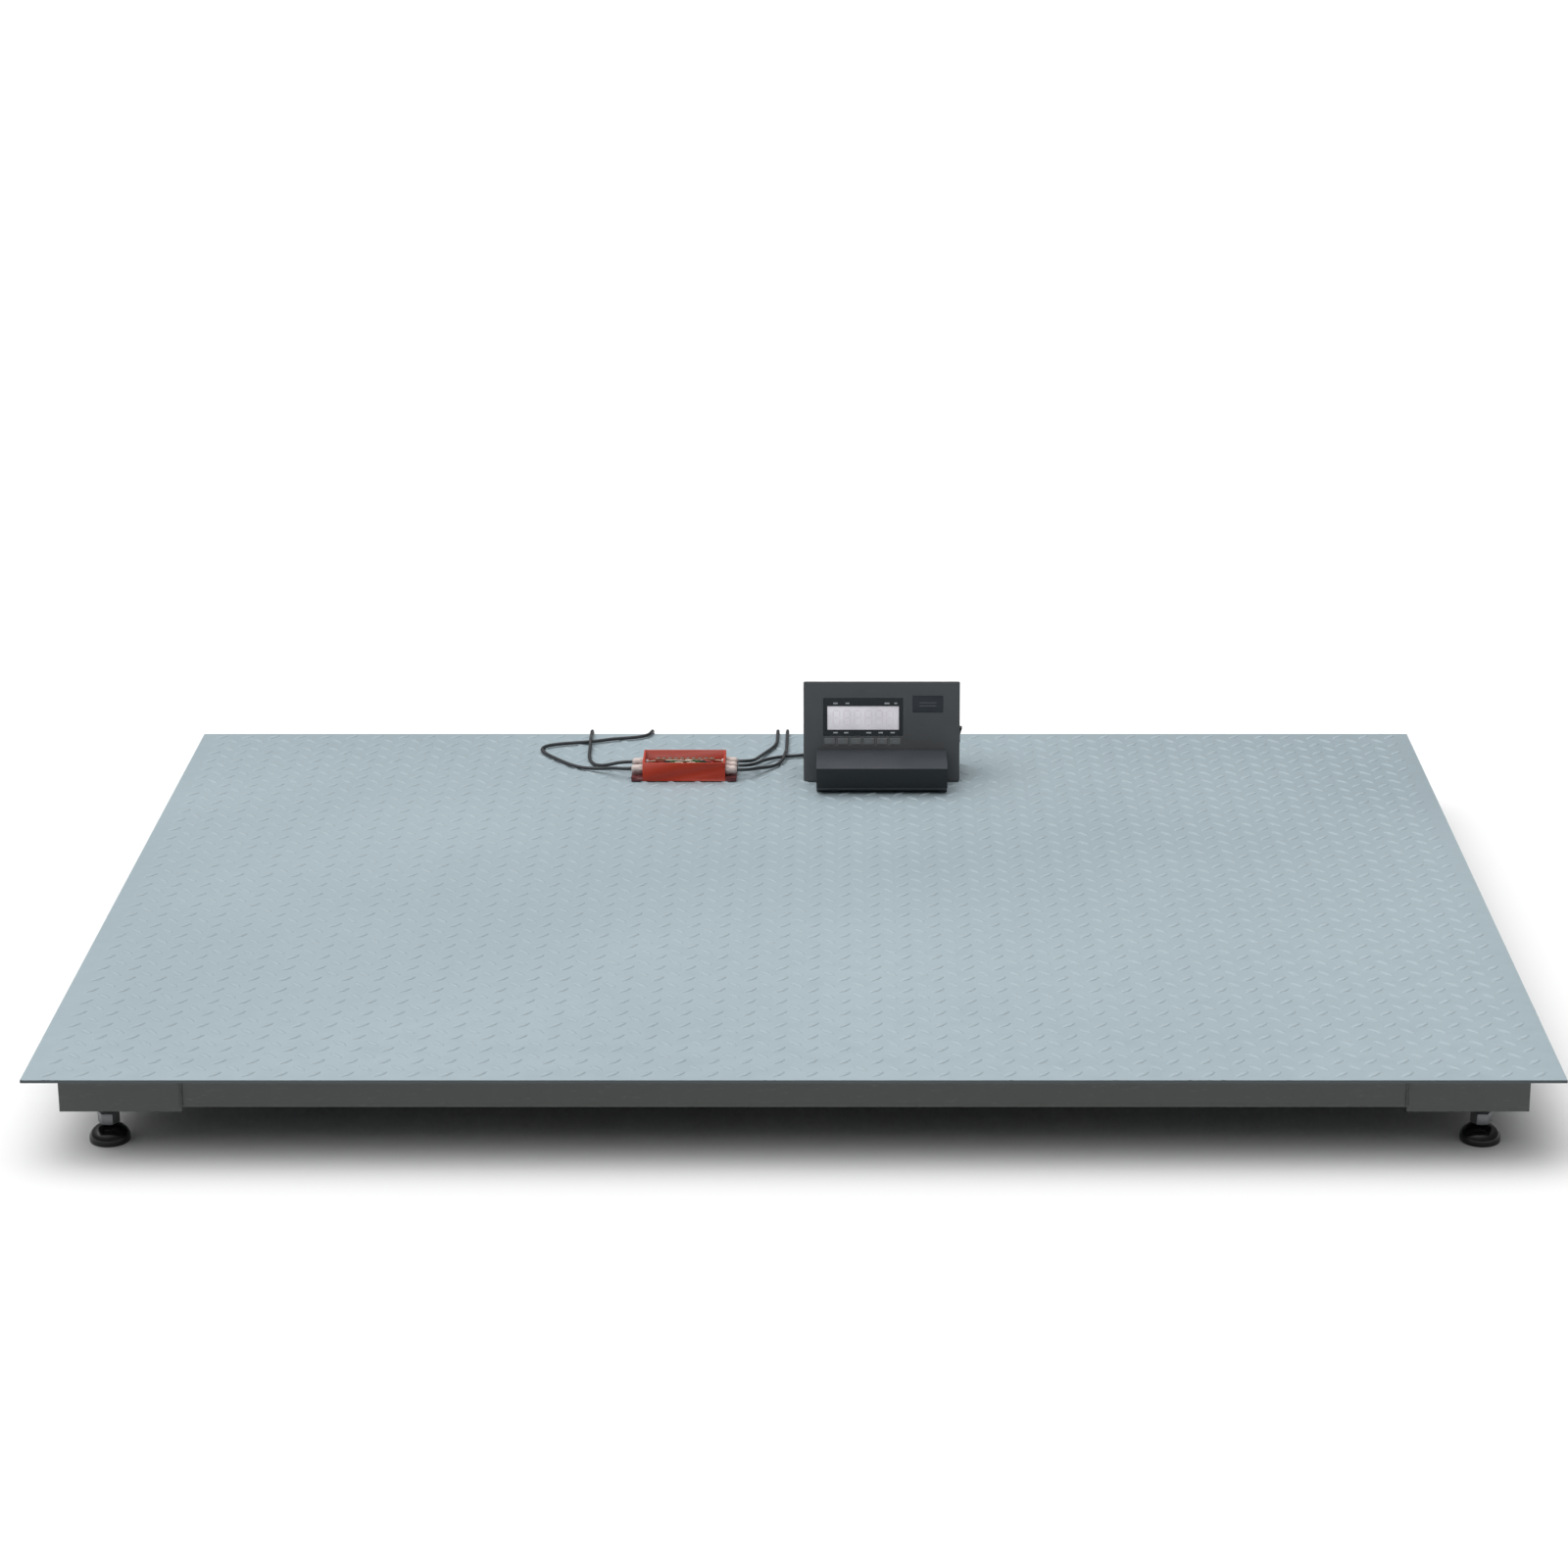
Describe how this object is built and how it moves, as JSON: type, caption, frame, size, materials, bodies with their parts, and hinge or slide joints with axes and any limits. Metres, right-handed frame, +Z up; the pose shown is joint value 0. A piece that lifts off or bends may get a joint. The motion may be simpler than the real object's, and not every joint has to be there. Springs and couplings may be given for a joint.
{
  "type": "animal weighing scale",
  "caption": "Low platform scale with a chequered steel deck on load cells and levelling feet, a desk indicator and an open junction box.",
  "frame": {"origin": "on the floor under the centre of the platform", "axes": "+X along the deck's long side, +Y towards the rear edge that the indicator stands near, +Z up; the indicator's face looks along -Y"},
  "size_m": [2, 1.5236, 0.2883],
  "materials": {
    "deck_paint": "light blue-grey enamel on chequered plate, slightly worn",
    "frame_paint": "dark grey satin enamel",
    "cell_steel": "nickel-plated, satin",
    "zinc_steel": "zinc-plated",
    "foot_rubber": "black, smooth",
    "case_plastic": "charcoal, fine texture",
    "window": "dark window surround with a clear opening",
    "display": "pale liquid-crystal panel",
    "board": "green circuit board with pale terminals",
    "battery": "dark grey",
    "black_plastic": "black",
    "key_plastic": "dark grey",
    "box_orange": "orange-red, moulded",
    "gland_pale": "off-white nylon",
    "cable": "dark grey sheath"
  },
  "bodies": {
    "platform": {"deck_plate": "deck_paint", "front_beam": "frame_paint", "rear_beam": "frame_paint", "left_beam": "frame_paint", "right_beam": "frame_paint", "left_rib": "frame_paint", "middle_rib": "frame_paint", "right_rib": "frame_paint", "corner_front_left": "frame_paint", "load_cell_front_left": "cell_steel", "cell_bolt_front_left_1": "zinc_steel", "cell_bolt_front_left_2": "zinc_steel", "corner_front_right": "frame_paint", "load_cell_front_right": "cell_steel", "cell_bolt_front_right_1": "zinc_steel", "cell_bolt_front_right_2": "zinc_steel", "corner_rear_left": "frame_paint", "load_cell_rear_left": "cell_steel", "cell_bolt_rear_left_1": "zinc_steel", "cell_bolt_rear_left_2": "zinc_steel", "corner_rear_right": "frame_paint", "load_cell_rear_right": "cell_steel", "cell_bolt_rear_right_1": "zinc_steel", "cell_bolt_rear_right_2": "zinc_steel", "indicator_front_case": "case_plastic", "indicator_rear_case": "case_plastic", "display_window": "window", "display_module": "display", "main_board": "board", "battery": "battery", "signal_plug": "black_plastic", "junction_box": "box_orange", "terminal_board": "board", "gland_rear_left": "gland_pale", "gland_front_left": "gland_pale", "gland_rear_right": "gland_pale", "gland_signal": "gland_pale", "gland_front_right": "gland_pale", "cell_cable_rear_left": "cable", "cell_cable_front_left": "cable", "cell_cable_rear_right": "cable", "cell_cable_front_right": "cable", "signal_cable": "cable"},
    "foot_base_front_left": {"foot_base_front_left": "foot_rubber"},
    "foot_stem_front_left": {"foot_stem_front_left": "zinc_steel"},
    "foot_base_front_right": {"foot_base_front_right": "foot_rubber"},
    "foot_stem_front_right": {"foot_stem_front_right": "zinc_steel"},
    "foot_base_rear_left": {"foot_base_rear_left": "foot_rubber"},
    "foot_stem_rear_left": {"foot_stem_rear_left": "zinc_steel"},
    "foot_base_rear_right": {"foot_base_rear_right": "foot_rubber"},
    "foot_stem_rear_right": {"foot_stem_rear_right": "zinc_steel"},
    "key_1": {"key_1": "key_plastic"},
    "key_2": {"key_2": "key_plastic"},
    "key_3": {"key_3": "key_plastic"},
    "key_4": {"key_4": "key_plastic"},
    "key_5": {"key_5": "key_plastic"},
    "key_6": {"key_6": "key_plastic"},
    "power_switch": {"power_switch": "black_plastic"},
    "battery_door": {"battery_door": "case_plastic"}
  },
  "joints": [
    {"name": "foot_height_front_left", "type": "slide", "parent": "platform", "child": "foot_base_front_left", "axis": [0, 0, -1], "range_m": [0, 0.01]},
    {"name": "foot_turn_front_left", "type": "hinge", "parent": "foot_base_front_left", "child": "foot_stem_front_left", "pos_m": [-0.907, -0.657, 0.05], "axis": [0, 0, -1], "range_deg": [0, 2401]},
    {"name": "foot_height_front_right", "type": "slide", "parent": "platform", "child": "foot_base_front_right", "axis": [0, 0, -1], "range_m": [0, 0.01]},
    {"name": "foot_turn_front_right", "type": "hinge", "parent": "foot_base_front_right", "child": "foot_stem_front_right", "pos_m": [0.907, -0.657, 0.05], "axis": [0, 0, -1], "range_deg": [0, 2401]},
    {"name": "foot_height_rear_left", "type": "slide", "parent": "platform", "child": "foot_base_rear_left", "axis": [0, 0, -1], "range_m": [0, 0.01]},
    {"name": "foot_turn_rear_left", "type": "hinge", "parent": "foot_base_rear_left", "child": "foot_stem_rear_left", "pos_m": [-0.907, 0.657, 0.05], "axis": [0, 0, -1], "range_deg": [0, 2401]},
    {"name": "foot_height_rear_right", "type": "slide", "parent": "platform", "child": "foot_base_rear_right", "axis": [0, 0, -1], "range_m": [0, 0.01]},
    {"name": "foot_turn_rear_right", "type": "hinge", "parent": "foot_base_rear_right", "child": "foot_stem_rear_right", "pos_m": [0.907, 0.657, 0.05], "axis": [0, 0, -1], "range_deg": [0, 2401]},
    {"name": "key_1_press", "type": "slide", "parent": "platform", "child": "key_1", "axis": [0, 0.9976, -0.0698], "range_m": [0, 0.0012], "stiffness_N_per_m": 400, "springref_m": -0.0004},
    {"name": "key_2_press", "type": "slide", "parent": "platform", "child": "key_2", "axis": [0, 0.9976, -0.0698], "range_m": [0, 0.0012], "stiffness_N_per_m": 400, "springref_m": -0.0004},
    {"name": "key_3_press", "type": "slide", "parent": "platform", "child": "key_3", "axis": [0, 0.9976, -0.0698], "range_m": [0, 0.0012], "stiffness_N_per_m": 400, "springref_m": -0.0004},
    {"name": "key_4_press", "type": "slide", "parent": "platform", "child": "key_4", "axis": [0, 0.9976, -0.0698], "range_m": [0, 0.0012], "stiffness_N_per_m": 400, "springref_m": -0.0004},
    {"name": "key_5_press", "type": "slide", "parent": "platform", "child": "key_5", "axis": [0, 0.9976, -0.0698], "range_m": [0, 0.0012], "stiffness_N_per_m": 400, "springref_m": -0.0004},
    {"name": "key_6_press", "type": "slide", "parent": "platform", "child": "key_6", "axis": [0, 0.9976, -0.0698], "range_m": [0, 0.0012], "stiffness_N_per_m": 400, "springref_m": -0.0004},
    {"name": "power_rocker", "type": "hinge", "parent": "platform", "child": "power_switch", "pos_m": [0.245, 0.551, 0.1863], "axis": [0, -1, 0], "range_deg": [0, 14]},
    {"name": "battery_door_hinge", "type": "hinge", "parent": "platform", "child": "battery_door", "pos_m": [0.2257, 0.585, 0.1833], "axis": [0, 0, -1], "range_deg": [0, 100]}
  ],
  "couplings": [
    {"joint": "foot_turn_front_left", "follows": "foot_height_front_left", "rad_per_m": 4188.8},
    {"joint": "foot_turn_front_right", "follows": "foot_height_front_right", "rad_per_m": 4188.8},
    {"joint": "foot_turn_rear_left", "follows": "foot_height_rear_left", "rad_per_m": 4188.8},
    {"joint": "foot_turn_rear_right", "follows": "foot_height_rear_right", "rad_per_m": 4188.8}
  ]
}
